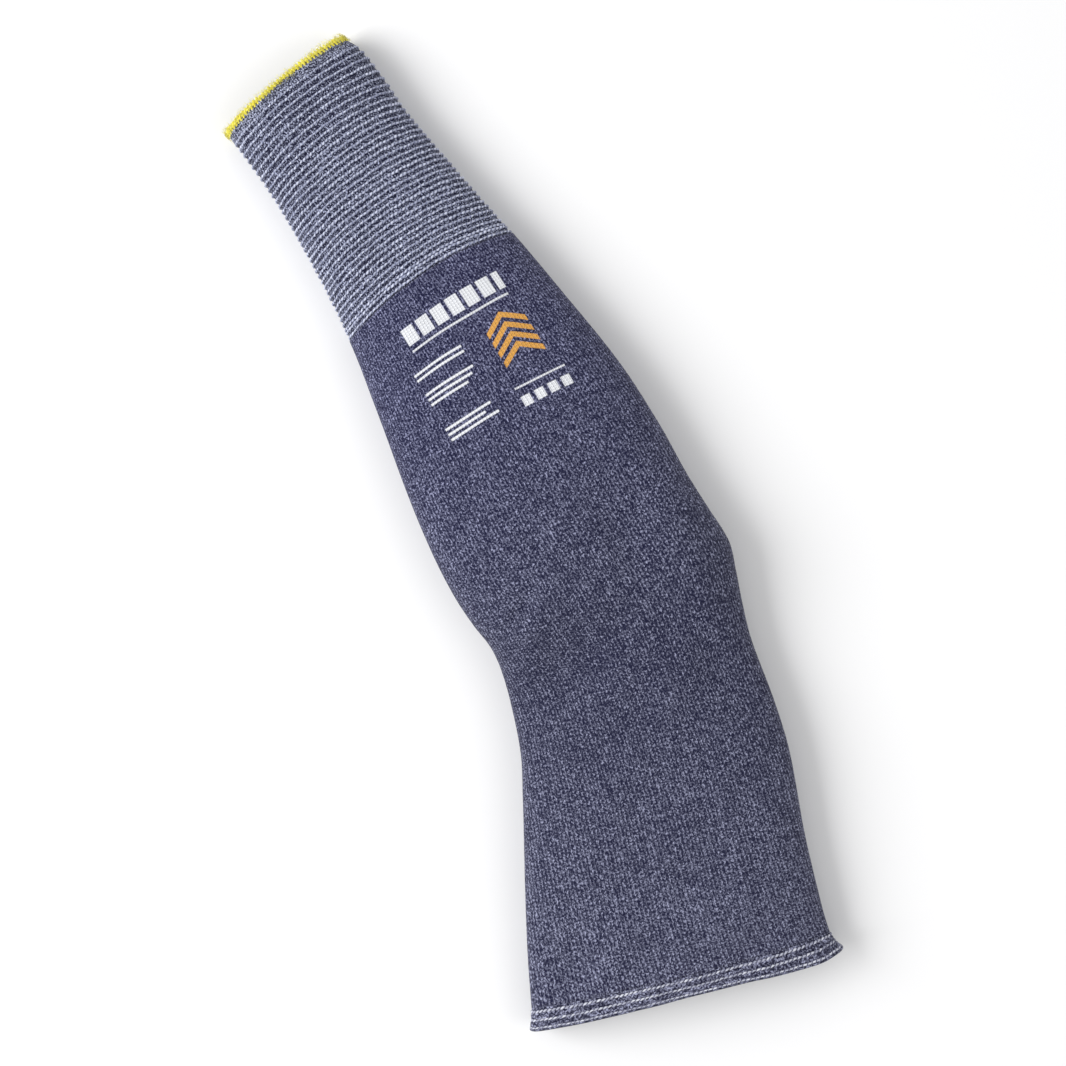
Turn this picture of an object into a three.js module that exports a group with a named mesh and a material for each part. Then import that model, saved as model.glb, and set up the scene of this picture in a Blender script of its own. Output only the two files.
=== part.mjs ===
import * as THREE from 'three';

// A long knitted sleeve lying on its underside: a corrugated wrist cuff with a bright overlocked edge,
// a seamless body tube that bends slightly at the elbow, and a folded hem at the upper arm.
// Lengths are in millimetres and angles in degrees. The wrist points to +Y and the outer elbow to +X.

// Lengths along the middle line, from the wrist to the upper arm
const wristEdgeDepth = 2.6;
const cuffLength = 96.8;
const forearmLength = 140;
const upperArmLength = 151.7;
const hemDepth = 8;
const seamGap = 0.3;

// Widths of the lying sleeve, from side to side
const wristWidth = 60;
const joinWidth = 78;
const elbowWidth = 104;
const hemWidth = 122;

// Heights of the lying sleeve, from the surface to the crown
const wristHeight = 23;
const joinHeight = 27;
const elbowHeight = 33;
const hemHeight = 25;

// Cloth
const cuffWall = 1.2;
const bodyWall = 1.4;
const hemWall = 2.4;
const wristEdgeWall = 2.2;
const ribHeight = 0.8;
const rollHeight = 0.6;

// Rows of the cuff
const bandDepth = 4.2;
const bandSink = 0.3;
const ribPitchAtWrist = 2.8;
const ribPitchAtJoin = 2.3;
const weltWidth = 3;
const weltSpacing = 3;
const lastRowWidth = 1.2;

// Bend of the arm and bow of the knitted rows
const bendAngle = 30;
const rowBow = 5;

// Round form of the cross-section
const sideLevelShare = 0.45;
const flatShare = 0.8;
const crownExponent = 2.3;
const bowExponent = 2.2;
const crownSteps = 16;
const cornerSteps = 4;
const flatSteps = 6;

// Fineness of the walls and of the middle line
const bodyStep = 8;
const cuffInnerStep = 10;
const pathStep = 1;

// Sections along the sleeve. along is a share of its zone, heading a share of the bend angle, left and
// right shares of half the local width, height a share of the local height, bow a share of the row bow.
const sections = [
  { zone: 'cuff', along: 0, heading: 0.52, left: 1.01, right: 0.98, height: 1, bow: 0.2 },
  { zone: 'cuff', along: 0.08, heading: 0.49, left: 1, right: 1.055, height: 1.02, bow: 0.4 },
  { zone: 'cuff', along: 0.2, heading: 0.45, left: 0.978, right: 1.031, height: 1.02, bow: 0.6 },
  { zone: 'cuff', along: 0.38, heading: 0.4, left: 0.953, right: 0.96, height: 1, bow: 0.7 },
  { zone: 'cuff', along: 0.7, heading: 0.352, left: 0.96, right: 0.968, height: 0.99, bow: 0.85 },
  { zone: 'forearm', along: 0, heading: 0.333, left: 1, right: 0.998, height: 1, bow: 1 },
  { zone: 'forearm', along: 0.2, heading: 0.255, left: 1.065, right: 1.026, height: 1.02, bow: 0.85 },
  { zone: 'forearm', along: 0.45, heading: 0.175, left: 1.118, right: 1.074, height: 1.04, bow: 0.55 },
  { zone: 'forearm', along: 0.65, heading: 0.158, left: 1.123, right: 1.056, height: 1.03, bow: 0.3 },
  { zone: 'forearm', along: 0.8, heading: 0.138, left: 1.09, right: 1.018, height: 1.01, bow: 0.2 },
  { zone: 'forearm', along: 0.91, heading: 0.09, left: 1.03, right: 1.015, height: 1, bow: 0.1 },
  { zone: 'upperArm', along: 0, heading: -0.017, left: 0.963, right: 1.027, height: 1, bow: 0 },
  { zone: 'upperArm', along: 0.06, heading: -0.115, left: 0.939, right: 0.982, height: 0.99, bow: 0 },
  { zone: 'upperArm', along: 0.13, heading: -0.22, left: 0.925, right: 0.937, height: 0.97, bow: 0 },
  { zone: 'upperArm', along: 0.21, heading: -0.32, left: 0.914, right: 0.917, height: 0.96, bow: 0 },
  { zone: 'upperArm', along: 0.37, heading: -0.433, left: 0.9, right: 0.962, height: 0.98, bow: -0.05 },
  { zone: 'upperArm', along: 0.48, heading: -0.49, left: 0.919, right: 0.983, height: 1, bow: -0.1 },
  { zone: 'upperArm', along: 0.68, heading: -0.508, left: 0.957, right: 0.968, height: 1.02, bow: -0.15 },
  { zone: 'upperArm', along: 0.84, heading: -0.46, left: 0.99, right: 0.97, height: 1.02, bow: -0.2 },
  { zone: 'hem', along: 0, heading: -0.32, left: 1.036, right: 0.968, height: 1, bow: -0.2 },
  { zone: 'hem', along: 0.55, heading: -0.305, left: 1.056, right: 0.985, height: 1, bow: -0.2 },
  { zone: 'hem', along: 1, heading: -0.3, left: 1.08, right: 1.025, height: 1.02, bow: -0.2 },
];

// Shallow folds and swells of the upper side. along and length are shares of the zone, across and width
// shares of the elbow width, rise a share of the elbow height, turn the angle of the fold to the sleeve.
const folds = [
  { name: 'inner elbow crease', zone: 'upperArm', along: 0.17, across: -0.24, length: 0.1, width: 0.26,
    rise: -0.14, turn: 32 },
  { name: 'outer elbow point', zone: 'upperArm', along: -0.02, across: 0.36, length: 0.13, width: 0.12,
    rise: 0.09, turn: 0 },
  { name: 'crease below the outer elbow', zone: 'upperArm', along: 0.27, across: 0.36, length: 0.1,
    width: 0.14, rise: -0.08, turn: -20 },
  { name: 'forearm swell', zone: 'forearm', along: 0.72, across: -0.06, length: 0.22, width: 0.22,
    rise: 0.05, turn: 8 },
  { name: 'hollow beside the swell', zone: 'forearm', along: 0.85, across: 0.2, length: 0.2, width: 0.1,
    rise: -0.05, turn: -10 },
  { name: 'left hem corner dent', zone: 'upperArm', along: 0.9, across: -0.42, length: 0.09, width: 0.12,
    rise: -0.1, turn: 20 },
  { name: 'dip above the hem', zone: 'upperArm', along: 0.76, across: -0.06, length: 0.06, width: 0.34,
    rise: -0.05, turn: -6 },
  { name: 'swell above the hem', zone: 'upperArm', along: 0.9, across: 0.14, length: 0.08, width: 0.3,
    rise: 0.05, turn: -6 },
  { name: 'cuff hollow', zone: 'cuff', along: 0.62, across: -0.1, length: 0.24, width: 0.12,
    rise: -0.03, turn: 0 },
];

const zoneStart = { cuff: 0 };
zoneStart.forearm = wristEdgeDepth + seamGap + cuffLength + seamGap;
zoneStart.upperArm = zoneStart.forearm + forearmLength;
zoneStart.hem = zoneStart.upperArm + upperArmLength + seamGap;
const sleeveLength = zoneStart.hem + hemDepth;

const zoneLength = {
  cuff: zoneStart.forearm,
  forearm: forearmLength,
  upperArm: zoneStart.hem - zoneStart.upperArm,
  hem: hemDepth,
};

const placeOf = ({ zone, along }) => zoneStart[zone] + along * zoneLength[zone];
const stations = sections.map((section) => ({ ...section, distance: placeOf(section) }));

const mainSizes = [
  { distance: 0, width: wristWidth, height: wristHeight },
  { distance: zoneStart.forearm, width: joinWidth, height: joinHeight },
  { distance: zoneStart.upperArm, width: elbowWidth, height: elbowHeight },
  { distance: zoneStart.hem, width: hemWidth, height: hemHeight },
  { distance: sleeveLength, width: hemWidth, height: hemHeight },
];

const clamp = THREE.MathUtils.clamp;
const radians = THREE.MathUtils.degToRad;

// Finds the span of rows that holds a distance, and how far along that span it is.
function spanAt(rows, distance) {
  let index = 0;
  while (index < rows.length - 2 && rows[index + 1].distance <= distance) index += 1;
  const length = rows[index + 1].distance - rows[index].distance;
  const share = clamp((distance - rows[index].distance) / length, 0, 1);
  return { index, length, share };
}

// Straight taper between the main sizes.
function taper(key, distance) {
  const { index, share } = spanAt(mainSizes, distance);
  return THREE.MathUtils.lerp(mainSizes[index][key], mainSizes[index + 1][key], share);
}

// Smooth curve through one column of the sections.
function smooth(key, distance) {
  const { index, length, share } = spanAt(stations, distance);
  const slopeAt = (i) => {
    const before = stations[Math.max(i - 1, 0)];
    const after = stations[Math.min(i + 1, stations.length - 1)];
    return (after[key] - before[key]) / (after.distance - before.distance);
  };
  const square = share * share;
  const cube = square * share;
  return (2 * cube - 3 * square + 1) * stations[index][key]
    + (cube - 2 * square + share) * length * slopeAt(index)
    + (3 * square - 2 * cube) * stations[index + 1][key]
    + (cube - square) * length * slopeAt(index + 1);
}

// The middle line is walked in short steps, each turned by the local heading.
function walkMiddleLine() {
  const stepCount = Math.ceil(sleeveLength / pathStep);
  const step = sleeveLength / stepCount;
  const points = [{ distance: 0, x: 0, y: 0 }];
  for (let i = 0; i < stepCount; i += 1) {
    const heading = radians(bendAngle * smooth('heading', (i + 0.5) * step));
    const last = points[i];
    points.push({
      distance: (i + 1) * step,
      x: last.x + step * Math.sin(heading),
      y: last.y - step * Math.cos(heading),
    });
  }
  return points;
}

const middleLine = walkMiddleLine();

function frameAt(distance) {
  const { index, share } = spanAt(middleLine, distance);
  const heading = radians(bendAngle * smooth('heading', distance));
  return {
    x: THREE.MathUtils.lerp(middleLine[index].x, middleLine[index + 1].x, share),
    y: THREE.MathUtils.lerp(middleLine[index].y, middleLine[index + 1].y, share),
    forward: new THREE.Vector2(Math.sin(heading), -Math.cos(heading)),
    across: new THREE.Vector2(Math.cos(heading), Math.sin(heading)),
  };
}

// Height that the folds add to the crown at one place.
function foldRise(distance, across) {
  let rise = 0;
  for (const fold of folds) {
    const turn = radians(fold.turn);
    const ahead = distance - placeOf(fold);
    const aside = across - fold.across * elbowWidth;
    const lengthwise = ahead * Math.cos(turn) + aside * Math.sin(turn);
    const sideways = aside * Math.cos(turn) - ahead * Math.sin(turn);
    const far = (lengthwise / (fold.length * zoneLength[fold.zone])) ** 2
      + (sideways / (fold.width * elbowWidth)) ** 2;
    rise += fold.rise * elbowHeight * Math.exp(-far);
  }
  return rise;
}

// One closed cross-section, from the right side over the crown to the left side and back below. outset
// moves it out of the sleeve's outer surface, or in when negative, and never below the surface it lies on.
function crossSection(distance, outset) {
  const halfWidth = taper('width', distance) / 2;
  const height = taper('height', distance) * smooth('height', distance);
  const sideLevel = sideLevelShare * height;
  const right = halfWidth * smooth('right', distance);
  const left = halfWidth * smooth('left', distance);
  const floor = Math.max(0, -outset);
  const points = [];
  for (let i = 0; i < crownSteps; i += 1) {
    const angle = Math.PI * i / crownSteps;
    const sideShare = Math.sign(Math.cos(angle)) * Math.abs(Math.cos(angle)) ** (2 / crownExponent);
    const crownShare = Math.sin(angle) ** (2 / crownExponent);
    const across = sideShare * ((sideShare > 0 ? right : left) + outset);
    const level = sideLevel + crownShare * (height + outset - sideLevel);
    points.push({ across, level: level + crownShare * foldRise(distance, across) });
  }
  for (let i = 0; i < cornerSteps; i += 1) {
    const angle = Math.PI / 2 * i / cornerSteps;
    const flat = flatShare * left;
    const across = -(flat + (left + outset - flat) * Math.cos(angle));
    points.push({ across, level: sideLevel - (sideLevel - floor) * Math.sin(angle) });
  }
  for (let i = 0; i < flatSteps; i += 1) {
    points.push({ across: flatShare * THREE.MathUtils.lerp(-left, right, i / flatSteps), level: floor });
  }
  for (let i = 0; i < cornerSteps; i += 1) {
    const angle = Math.PI / 2 * (1 - i / cornerSteps);
    const flat = flatShare * right;
    const across = flat + (right + outset - flat) * Math.cos(angle);
    points.push({ across, level: sideLevel - (sideLevel - floor) * Math.sin(angle) });
  }
  return points.map((point, i) => {
    const side = point.across > 0 ? right : left;
    const onCrown = i < crownSteps;
    const fromMiddle = clamp(Math.abs(point.across) / side, 0, 1);
    const bowShare = onCrown ? 1 - fromMiddle ** bowExponent : 0;
    return { ...point, bow: bowShare };
  });
}

// The ring of one station in space, with the crown bowed along the sleeve.
function ringPoints(distance, outset) {
  const frame = frameAt(distance);
  const shift = -rowBow * smooth('bow', distance);
  return crossSection(distance, outset).map(({ across, level, bow }) => new THREE.Vector3(
    frame.x + across * frame.across.x + bow * shift * frame.forward.x,
    frame.y + across * frame.across.y + bow * shift * frame.forward.y,
    level,
  ));
}

// Skins a closed loop of stations, out along the outside of the wall and back along its inside.
function wallGeometry(loop) {
  const rings = loop.map(({ distance, outset }) => ringPoints(distance, outset));
  const ringSize = rings[0].length;
  const indices = [];
  for (let r = 0; r < rings.length; r += 1) {
    const here = r * ringSize;
    const there = ((r + 1) % rings.length) * ringSize;
    for (let j = 0; j < ringSize; j += 1) {
      const k = (j + 1) % ringSize;
      indices.push(here + j, here + k, there + j);
      indices.push(here + k, there + k, there + j);
    }
  }
  const geometry = new THREE.BufferGeometry().setFromPoints(rings.flat());
  geometry.setIndex(indices);
  geometry.computeVertexNormals();
  return geometry;
}

// Evenly spaced stations from one distance to another, both included.
function evenStations(from, to, spacing, outset) {
  const count = Math.max(1, Math.round(Math.abs(to - from) / spacing));
  return Array.from({ length: count + 1 }, (_, i) => (
    { distance: THREE.MathUtils.lerp(from, to, i / count), outset }));
}

// The overlocked edge is a soft roll around the wrist opening.
function wristEdgeLoop() {
  const half = wristEdgeWall / 2;
  const sides = 8;
  return Array.from({ length: sides }, (_, i) => {
    const angle = 2 * Math.PI * (i + 0.5) / sides;
    return {
      distance: wristEdgeDepth / 2 * (1 - Math.cos(angle)),
      outset: rollHeight / 2 - half + half * Math.sin(angle),
    };
  });
}

// The cuff has a smooth band, rows whose pitch tightens towards the join, a welt and one last row.
function cuffLoop() {
  const start = wristEdgeDepth + seamGap;
  const end = start + cuffLength;
  const bandEnd = start + bandDepth;
  const ribsEnd = end - lastRowWidth - weltSpacing - weltWidth;
  const ribCount = Math.round((ribsEnd - bandEnd) * 2 / (ribPitchAtWrist + ribPitchAtJoin));
  const tightening = (ribPitchAtWrist - ribPitchAtJoin) / (ribPitchAtWrist + ribPitchAtJoin);
  const ribPlace = (turn) => {
    const share = turn / ribCount;
    return bandEnd + (ribsEnd - bandEnd) * (share + tightening * share * (1 - share));
  };
  const loop = [{ distance: start, outset: -bandSink }, { distance: bandEnd, outset: -bandSink }];
  for (let i = 0; i < ribCount; i += 1) {
    loop.push({ distance: ribPlace(i + 0.25), outset: -ribHeight });
    loop.push({ distance: ribPlace(i + 0.75), outset: 0 });
  }
  loop.push({ distance: ribsEnd + weltWidth / 6, outset: -ribHeight });
  loop.push({ distance: ribsEnd + weltWidth / 3, outset: 0 });
  loop.push({ distance: ribsEnd + weltWidth, outset: 0 });
  loop.push({ distance: ribsEnd + weltWidth + weltSpacing / 3, outset: -ribHeight });
  loop.push({ distance: end - lastRowWidth, outset: -ribHeight });
  loop.push({ distance: end - lastRowWidth / 2, outset: 0 });
  loop.push({ distance: end, outset: -ribHeight / 2 });
  return [...loop, ...evenStations(end, start, cuffInnerStep, -ribHeight - cuffWall)];
}

// The body is one seamless tube from the cuff to the hem.
function bodyLoop() {
  const start = zoneStart.forearm;
  const end = zoneStart.upperArm + upperArmLength;
  return [
    ...evenStations(start, end, bodyStep, 0),
    ...evenStations(end, start, bodyStep, -bodyWall),
  ];
}

// The hem is the body's cloth folded back once, with a thicker rolled lip at its free edge.
function hemLoop() {
  const at = (share, outset) => ({ distance: zoneStart.hem + share * hemDepth, outset });
  return [
    at(0, 0),
    at(0.1, rollHeight / 2),
    at(0.5, rollHeight / 3),
    at(0.72, rollHeight / 2),
    at(0.86, rollHeight),
    at(0.97, rollHeight / 2),
    at(1, rollHeight / 2 - hemWall / 2),
    at(0.97, -hemWall),
    at(0.6, -hemWall),
    at(0, -hemWall),
  ];
}

function clothPiece(name, loop, colour, roughness) {
  const material = new THREE.MeshStandardMaterial({ color: colour, roughness, metalness: 0 });
  const mesh = new THREE.Mesh(wallGeometry(loop), material);
  mesh.name = name;
  return mesh;
}

const sleeve = new THREE.Group();
sleeve.add(
  clothPiece('wrist_edge', wristEdgeLoop(), 0xe1d73c, 0.85),
  clothPiece('ribbed_cuff', cuffLoop(), 0x707487, 0.9),
  clothPiece('sleeve_body', bodyLoop(), 0x53556b, 0.9),
  clothPiece('hem_band', hemLoop(), 0x62647a, 0.9),
);

// The origin is the middle of the sleeve's outline, on the surface that it lies on.
const middle = new THREE.Box3().setFromObject(sleeve).getCenter(new THREE.Vector3());
sleeve.position.set(-middle.x, -middle.y, 0);

export default sleeve;
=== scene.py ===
"""The looks of a knitted arm sleeve that lies on a pale floor under soft studio light."""

import logging
import math
from dataclasses import dataclass
from enum import Enum
from typing import Callable, Optional, Sequence, Union

import bmesh
import bpy
import numpy as np
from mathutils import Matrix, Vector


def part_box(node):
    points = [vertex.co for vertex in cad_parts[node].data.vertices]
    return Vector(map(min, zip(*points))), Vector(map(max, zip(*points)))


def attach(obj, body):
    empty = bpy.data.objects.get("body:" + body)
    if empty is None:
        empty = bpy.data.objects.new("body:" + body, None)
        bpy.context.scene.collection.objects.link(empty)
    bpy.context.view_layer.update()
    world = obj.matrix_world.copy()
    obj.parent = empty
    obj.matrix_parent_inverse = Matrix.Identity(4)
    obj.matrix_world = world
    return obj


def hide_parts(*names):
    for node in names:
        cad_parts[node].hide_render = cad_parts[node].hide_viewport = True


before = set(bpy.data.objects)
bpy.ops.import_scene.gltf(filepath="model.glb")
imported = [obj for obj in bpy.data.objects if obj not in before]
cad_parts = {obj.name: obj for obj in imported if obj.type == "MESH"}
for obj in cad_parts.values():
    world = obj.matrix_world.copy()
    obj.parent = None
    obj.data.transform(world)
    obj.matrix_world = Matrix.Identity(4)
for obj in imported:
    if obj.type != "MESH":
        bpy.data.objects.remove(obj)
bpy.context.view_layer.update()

MM = 0.001
ROOT = "root"
KNIT_MAP = "Knit"
CLOTH_MAP = "Cloth"
FUZZ_SCALE = 2600

log = logging.getLogger("sleeve")

Colour = tuple[float, float, float]
Socket = bpy.types.NodeSocket
Wire = Union[Socket, float, int]


class Zone(Enum):
    """Stretches of the sleeve, from the wrist to the upper arm."""

    CUFF = "cuff"
    FOREARM = "forearm"
    UPPER_ARM = "upper_arm"
    HEM = "hem"


@dataclass(frozen=True)
class Section:
    """One cross-section. Its numbers are shares, as the fields of SleeveForm say."""

    zone: Zone
    along: float
    heading: float
    left: float
    right: float
    height: float
    bow: float


@dataclass(frozen=True)
class Fold:
    """One shallow fold or swell of the upper side, in shares of its zone and of the elbow's size."""

    zone: Zone
    along: float
    across: float
    length: float
    width: float
    rise: float
    turn: float


@dataclass(frozen=True)
class Row:
    """One ring of a wall: where it is, how far out it stands, and its place in the knit's courses."""

    distance: float
    outset: float
    course: float


SECTIONS = (
    Section(Zone.CUFF, 0, 0.52, 1.01, 0.98, 1, 0.2),
    Section(Zone.CUFF, 0.08, 0.49, 1, 1.055, 1.02, 0.4),
    Section(Zone.CUFF, 0.2, 0.45, 0.978, 1.031, 1.02, 0.6),
    Section(Zone.CUFF, 0.38, 0.4, 0.953, 0.96, 1, 0.7),
    Section(Zone.CUFF, 0.7, 0.352, 0.96, 0.968, 0.99, 0.85),
    Section(Zone.FOREARM, 0, 0.333, 1, 0.998, 1, 1),
    Section(Zone.FOREARM, 0.2, 0.255, 1.065, 1.026, 1.02, 0.85),
    Section(Zone.FOREARM, 0.45, 0.175, 1.118, 1.074, 1.04, 0.55),
    Section(Zone.FOREARM, 0.65, 0.158, 1.123, 1.056, 1.03, 0.3),
    Section(Zone.FOREARM, 0.8, 0.138, 1.09, 1.018, 1.01, 0.2),
    Section(Zone.FOREARM, 0.91, 0.09, 1.03, 1.015, 1, 0.1),
    Section(Zone.UPPER_ARM, 0, -0.017, 0.963, 1.027, 1, 0),
    Section(Zone.UPPER_ARM, 0.06, -0.115, 0.939, 0.982, 0.99, 0),
    Section(Zone.UPPER_ARM, 0.13, -0.22, 0.925, 0.937, 0.97, 0),
    Section(Zone.UPPER_ARM, 0.21, -0.32, 0.914, 0.917, 0.96, 0),
    Section(Zone.UPPER_ARM, 0.37, -0.433, 0.9, 0.962, 0.98, -0.05),
    Section(Zone.UPPER_ARM, 0.48, -0.49, 0.919, 0.983, 1, -0.1),
    Section(Zone.UPPER_ARM, 0.68, -0.508, 0.957, 0.968, 1.02, -0.15),
    Section(Zone.UPPER_ARM, 0.84, -0.46, 0.99, 0.97, 1.02, -0.2),
    Section(Zone.HEM, 0, -0.32, 1.036, 0.968, 1, -0.2),
    Section(Zone.HEM, 0.55, -0.305, 1.056, 0.985, 1, -0.2),
    Section(Zone.HEM, 1, -0.3, 1.08, 1.025, 1.02, -0.2),
)

FOLDS = (
    Fold(Zone.UPPER_ARM, 0.17, -0.24, 0.1, 0.26, -0.14, 32),
    Fold(Zone.UPPER_ARM, -0.02, 0.36, 0.13, 0.12, 0.09, 0),
    Fold(Zone.UPPER_ARM, 0.27, 0.36, 0.1, 0.14, -0.08, -20),
    Fold(Zone.FOREARM, 0.72, -0.06, 0.22, 0.22, 0.05, 8),
    Fold(Zone.FOREARM, 0.85, 0.2, 0.2, 0.1, -0.05, -10),
    Fold(Zone.UPPER_ARM, 0.9, -0.42, 0.09, 0.12, -0.1, 20),
    Fold(Zone.UPPER_ARM, 0.76, -0.06, 0.06, 0.34, -0.05, -6),
    Fold(Zone.UPPER_ARM, 0.9, 0.14, 0.08, 0.3, 0.05, -6),
    Fold(Zone.CUFF, 0.62, -0.1, 0.24, 0.12, -0.03, 0),
    Fold(Zone.FOREARM, 0.94, -0.33, 0.02, 0.11, -0.07, 34),
    Fold(Zone.FOREARM, 0.98, -0.29, 0.035, 0.12, 0.045, 34),
)


@dataclass
class SleeveForm:
    """The lying form of the whole sleeve, which every piece of cloth follows.

    A place on it is a distance along the middle line from the wrist and a share of the way around,
    from the middle of the underside over the outer elbow's side and the crown.
    """

    wrist_edge_depth: float = 2.6 * MM
    cuff_length: float = 96.8 * MM
    forearm_length: float = 140 * MM
    upper_arm_length: float = 151.7 * MM
    hem_depth: float = 8 * MM
    seam_gap: float = 0.3 * MM
    wrist_width: float = 60 * MM
    join_width: float = 78 * MM
    elbow_width: float = 104 * MM
    hem_width: float = 122 * MM
    wrist_height: float = 23 * MM
    join_height: float = 27 * MM
    elbow_height: float = 33 * MM
    hem_height: float = 25 * MM
    bend_degrees: float = 30
    row_bow: float = 5 * MM
    side_level_share: float = 0.45
    flat_share: float = 0.8
    crown_exponent: float = 2.3
    bow_exponent: float = 2.2
    station_step: float = 1 * MM
    drift_places: tuple[float, ...] = (0, 0.205, 0.24, 0.275, 0.32, 0.4)
    drift_amounts: tuple[float, ...] = (0, 0, 2 * MM, 6.4 * MM, 13.5 * MM, 22.5 * MM)
    samples_around: int = 720
    flat_steps: int = 24
    corner_steps: int = 32
    crown_steps: int = 220
    unevenness: float = 0.22 * MM
    slack_waves: int = 14
    slack_pitches: tuple[float, float] = (14 * MM, 46 * MM)
    slack_seed: int = 7
    stray: float = 0.16 * MM
    calm_length: float = 6 * MM
    hem_sag: float = 2 * MM
    hem_sag_place: float = 0.4
    hem_sag_widths: tuple[float, float] = (0.035, 0.09)
    lip_reach: float = 2 * MM

    def __post_init__(self) -> None:
        """Lays out the zones and works out the table of points and normals."""
        join = self.wrist_edge_depth + self.cuff_length + 2 * self.seam_gap
        elbow = join + self.forearm_length
        hem = elbow + self.upper_arm_length + self.seam_gap
        self.length = hem + self.hem_depth
        self.starts = {Zone.CUFF: 0.0, Zone.FOREARM: join, Zone.UPPER_ARM: elbow, Zone.HEM: hem}
        self.zone_lengths = {
            Zone.CUFF: join,
            Zone.FOREARM: elbow - join,
            Zone.UPPER_ARM: hem - elbow,
            Zone.HEM: self.hem_depth,
        }
        self.section_places = np.array([self.place_of(s.zone, s.along) for s in SECTIONS])
        self.main_places = np.array([0, join, elbow, hem, self.length])
        self.crown_start = self.flat_steps + self.corner_steps - 2
        self._walk_middle_line()
        self._fill_table()

    def place_of(self, zone: Zone, along: float) -> float:
        """The distance of a share of a zone."""
        return self.starts[zone] + along * self.zone_lengths[zone]

    def column(self, name: str, distance: np.ndarray) -> np.ndarray:
        """A smooth curve through one column of the sections.

        Args:
            name: The column's field name in Section.
            distance: Distances along the middle line.

        Returns:
            The column's value at each distance.
        """
        places = self.section_places
        values = np.array([getattr(s, name) for s in SECTIONS], float)
        before = np.r_[0, np.arange(len(values) - 1)]
        after = np.r_[np.arange(1, len(values)), len(values) - 1]
        slopes = (values[after] - values[before]) / (places[after] - places[before])
        i = np.clip(np.searchsorted(places, distance, side="right") - 1, 0, len(values) - 2)
        span = places[i + 1] - places[i]
        t = np.clip((distance - places[i]) / span, 0, 1)
        return (
            (2 * t**3 - 3 * t**2 + 1) * values[i]
            + (t**3 - 2 * t**2 + t) * span * slopes[i]
            + (3 * t**2 - 2 * t**3) * values[i + 1]
            + (t**3 - t**2) * span * slopes[i + 1]
        )

    def taper(self, sizes: Sequence[float], distance: np.ndarray) -> np.ndarray:
        """Straight taper between the four main sizes, the last one kept along the hem."""
        return np.interp(distance, self.main_places, [*sizes, sizes[-1]])

    def _walk_middle_line(self) -> None:
        """Walks the middle line in short steps, each turned by the local heading."""
        count = math.ceil(self.length / self.station_step)
        self.stations = np.linspace(0, self.length, count + 1)
        middles = (self.stations[1:] + self.stations[:-1]) / 2
        turn = np.radians(self.bend_degrees * self.column("heading", middles))
        step = self.length / count
        self.middle_x = np.r_[0, np.cumsum(step * np.sin(turn))]
        self.middle_y = np.r_[0, np.cumsum(-step * np.cos(turn))]

    def fold_rise(self, distance: np.ndarray, across: np.ndarray) -> np.ndarray:
        """Height that the folds add to the crown."""
        rise = np.zeros(np.broadcast(distance, across).shape)
        for fold in FOLDS:
            turn = math.radians(fold.turn)
            ahead = distance - self.place_of(fold.zone, fold.along)
            aside = across - fold.across * self.elbow_width
            lengthwise = ahead * math.cos(turn) + aside * math.sin(turn)
            sideways = aside * math.cos(turn) - ahead * math.sin(turn)
            far = (lengthwise / (fold.length * self.zone_lengths[fold.zone])) ** 2
            far = far + (sideways / (fold.width * self.elbow_width)) ** 2
            rise = rise + fold.rise * self.elbow_height * np.exp(-far)
        return rise

    def slack(self, distance: np.ndarray, across: np.ndarray) -> np.ndarray:
        """Small soft waves of loose cloth, from a few seeded sines."""
        draw = np.random.default_rng(self.slack_seed)
        waves = np.zeros(np.broadcast(distance, across).shape)
        for _ in range(self.slack_waves):
            pitch = draw.uniform(*self.slack_pitches)
            lean = draw.uniform(0, math.pi)
            phase = draw.uniform(0, 2 * math.pi)
            way = distance * math.cos(lean) + across * math.sin(lean)
            waves = waves + np.sin(2 * math.pi * way / pitch + phase)
        return self.unevenness * waves / math.sqrt(self.slack_waves / 2)

    def _outline(self, index: int) -> tuple[np.ndarray, np.ndarray, np.ndarray]:
        """One closed cross-section before it is placed.

        Args:
            index: The station's number.

        Returns:
            Places across, levels above the floor and shares of the row bow.
        """
        at = self.stations[index]
        here = np.array([at])
        widths = (self.wrist_width, self.join_width, self.elbow_width, self.hem_width)
        heights = (self.wrist_height, self.join_height, self.elbow_height, self.hem_height)
        half = float(self.taper(widths, here)[0]) / 2
        height = float((self.taper(heights, here) * self.column("height", here))[0])
        right = half * float(self.column("right", here)[0])
        left = half * float(self.column("left", here)[0])
        side = self.side_level_share * height
        flat = np.linspace(0, 1, self.flat_steps)
        quarter = np.linspace(0, math.pi / 2, self.corner_steps)
        arch = np.linspace(0, math.pi, self.crown_steps)
        power = 2 / self.crown_exponent
        swing = np.sign(np.cos(arch)) * np.abs(np.cos(arch)) ** power
        lift = np.sin(arch).clip(0) ** power
        crown_x = np.where(swing > 0, swing * right, swing * left)
        soft = self.fold_rise(at, crown_x) + self.slack(at, crown_x)
        crown_z = side + lift * (height - side) + lift * soft
        reach_r, reach_l = self.flat_share * right, self.flat_share * left
        corner_r = reach_r + (right - reach_r) * np.sin(quarter)
        corner_l = -(reach_l + (left - reach_l) * np.cos(quarter))
        low_r = side * (1 - np.cos(quarter))
        low_l = side * (1 - np.sin(quarter))
        across = np.concatenate(
            [flat[:-1] * reach_r, corner_r[:-1], crown_x[:-1], corner_l[:-1], -reach_l * (1 - flat)]
        )
        level = np.concatenate([0 * flat[:-1], low_r[:-1], crown_z[:-1], low_l[:-1], 0 * flat])
        bow = np.zeros(len(across))
        first = self.crown_start
        last = first + self.crown_steps - 1
        reach = np.where(crown_x > 0, crown_x / right, -crown_x / left)[:-1]
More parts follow.
